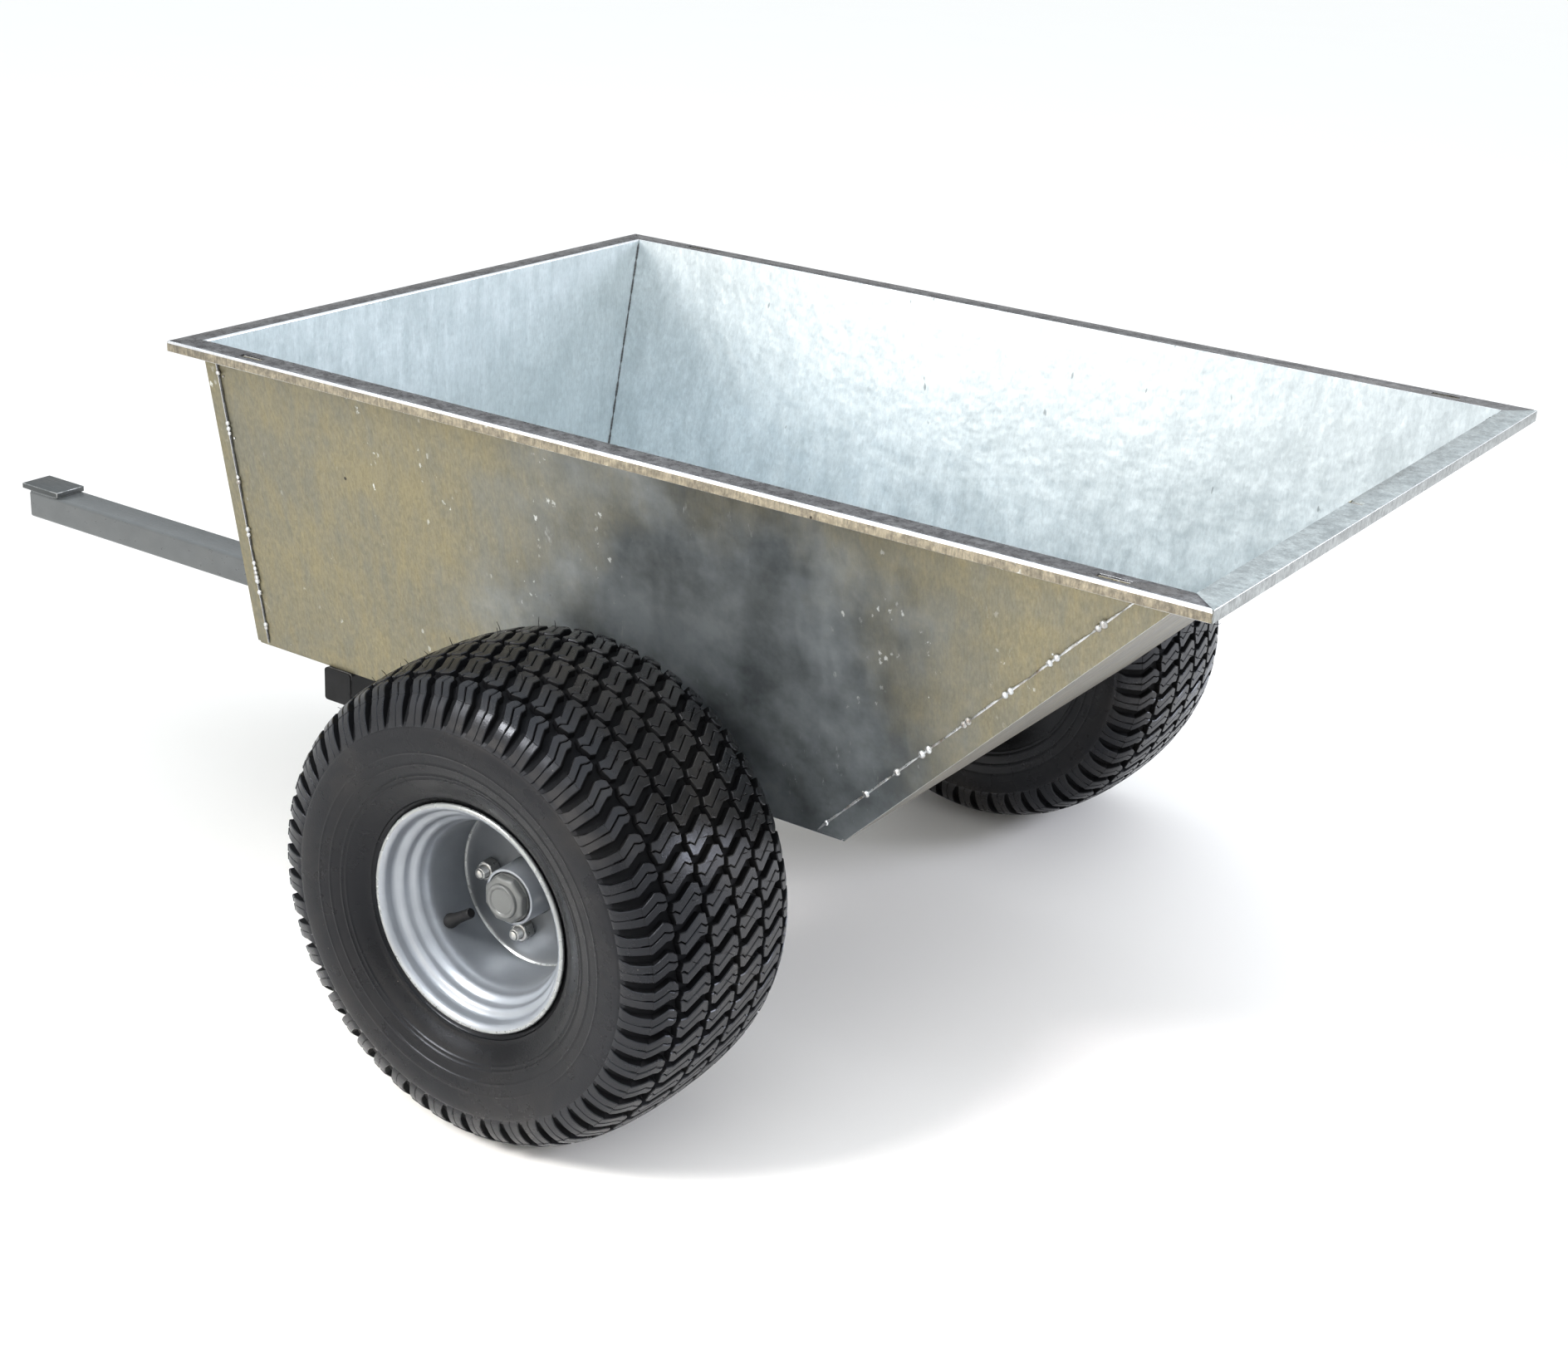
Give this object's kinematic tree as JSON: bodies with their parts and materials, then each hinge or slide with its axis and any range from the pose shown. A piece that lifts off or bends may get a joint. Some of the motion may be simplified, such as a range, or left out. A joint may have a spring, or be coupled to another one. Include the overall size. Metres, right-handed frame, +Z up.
{
  "type": "tow-behind dump cart",
  "caption": "Two-wheel tow-behind dump cart: folded galvanised tub with a sloping rear wall that tips back on a chassis with a square drawbar and wide turf tyres.",
  "frame": {"origin": "on the ground, at the bottom centre of the cart's bounding box", "axes": "+X forward to the hitch, +Y to the cart's left, +Z up; the wheel axle lies along Y"},
  "size_m": [2.01, 1.2572, 0.689],
  "materials": {
    "galvanised": "hot-dip galvanised, mottled",
    "black_paint": "satin",
    "grey_paint": "satin",
    "silver_paint": "satin metallic",
    "plated_steel": "dull zinc plating",
    "bare_steel": "ground",
    "tyre": "matt",
    "black_rubber": "matt",
    "black_plastic": "fine grain"
  },
  "bodies": {
    "chassis": {"drawbar": "grey_paint", "hitch_plate": "grey_paint", "axle_beam": "grey_paint", "rest_pad": "black_rubber", "gusset_left": "grey_paint", "pivot_lug_left": "grey_paint", "stub_axle_left": "bare_steel", "axle_nut_left": "plated_steel", "gusset_right": "grey_paint", "pivot_lug_right": "grey_paint", "stub_axle_right": "bare_steel", "axle_nut_right": "plated_steel", "latch_bracket": "grey_paint", "latch_pin": "plated_steel"},
    "tub": {"tub_body": "galvanised", "tub_front_panel": "galvanised", "tub_rear_panel": "galvanised", "tub_strike": "galvanised", "front_cross_tube": "black_paint", "pivot_cross_tube": "black_paint", "front_tube_cap_left": "black_plastic", "pivot_tube_cap_left": "black_plastic", "pivot_clevis_left": "black_paint", "pivot_bolt_left": "plated_steel", "pivot_nut_left": "plated_steel", "front_tube_cap_right": "black_plastic", "pivot_tube_cap_right": "black_plastic", "pivot_clevis_right": "black_paint", "pivot_bolt_right": "plated_steel", "pivot_nut_right": "plated_steel"},
    "wheel_left": {"tyre_left": "tyre", "rim_left": "silver_paint", "wheel_disc_left": "silver_paint", "hub_left": "silver_paint", "hub_cap_left": "silver_paint", "valve_left": "black_rubber", "bearing_inner_left": "bare_steel", "bearing_outer_left": "bare_steel", "wheel_stud_left_1": "plated_steel", "wheel_stud_left_2": "plated_steel", "wheel_stud_left_3": "plated_steel", "wheel_stud_left_4": "plated_steel"},
    "wheel_right": {"tyre_right": "tyre", "rim_right": "silver_paint", "wheel_disc_right": "silver_paint", "hub_right": "silver_paint", "hub_cap_right": "silver_paint", "valve_right": "black_rubber", "bearing_inner_right": "bare_steel", "bearing_outer_right": "bare_steel", "wheel_stud_right_1": "plated_steel", "wheel_stud_right_2": "plated_steel", "wheel_stud_right_3": "plated_steel", "wheel_stud_right_4": "plated_steel"},
    "latch": {"latch_lever": "plated_steel", "latch_grip": "black_plastic"}
  },
  "joints": [
    {"name": "tub_tip", "type": "hinge", "parent": "chassis", "child": "tub", "pos_m": [-0.416, 0, 0.245], "axis": [0, -1, 0], "range_deg": [0, 50]},
    {"name": "wheel_left_spin", "type": "hinge", "parent": "chassis", "child": "wheel_left", "pos_m": [-0.356, 0.5056, 0.254], "axis": [0, 1, 0], "continuous": true},
    {"name": "wheel_right_spin", "type": "hinge", "parent": "chassis", "child": "wheel_right", "pos_m": [-0.356, -0.5056, 0.254], "axis": [0, 1, 0], "continuous": true},
    {"name": "latch_swing", "type": "hinge", "parent": "chassis", "child": "latch", "pos_m": [0.256, 0, 0.28], "axis": [0, 1, 0], "range_deg": [-35, 0]}
  ]
}
